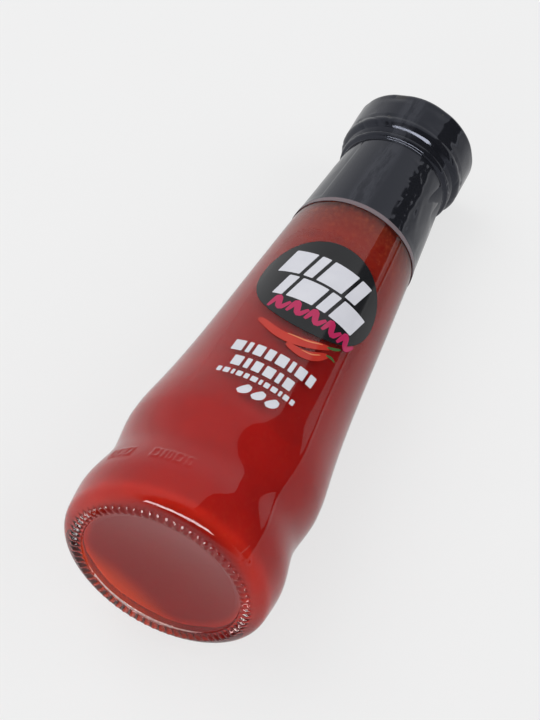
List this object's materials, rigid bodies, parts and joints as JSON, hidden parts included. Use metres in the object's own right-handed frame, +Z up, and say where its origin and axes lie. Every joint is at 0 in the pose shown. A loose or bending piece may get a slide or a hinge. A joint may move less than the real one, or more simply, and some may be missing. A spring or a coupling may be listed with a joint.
{
  "type": "hot sauce bottle",
  "caption": "Small clear glass hot sauce bottle with a waisted foot and a long taper, full of red sauce, its cap and neck in black shrink film, lying on its side with the label up.",
  "frame": {"origin": "under the middle of the bottle's bounding box, on the surface it lies on", "axes": "+Z up, +Y along the bottle from its base to its cap, which dips about 4 degrees, and the label looks up"},
  "size_m": [0.0568, 0.1714, 0.0572],
  "materials": {
    "glass": "clear flint glass with a ribbed bearing ring",
    "sauce": "smooth thick red chilli sauce with fine flecks",
    "cap": "black lacquered closure",
    "sleeve": "black glossy shrink film with a clear hem",
    "label": "clear film with black, white and magenta print"
  },
  "bodies": {
    "root": {"glass_bottle": "glass", "hot_sauce": "sauce", "cap": "cap", "shrink_sleeve": "sleeve", "front_label": "label"}
  },
  "joints": []
}
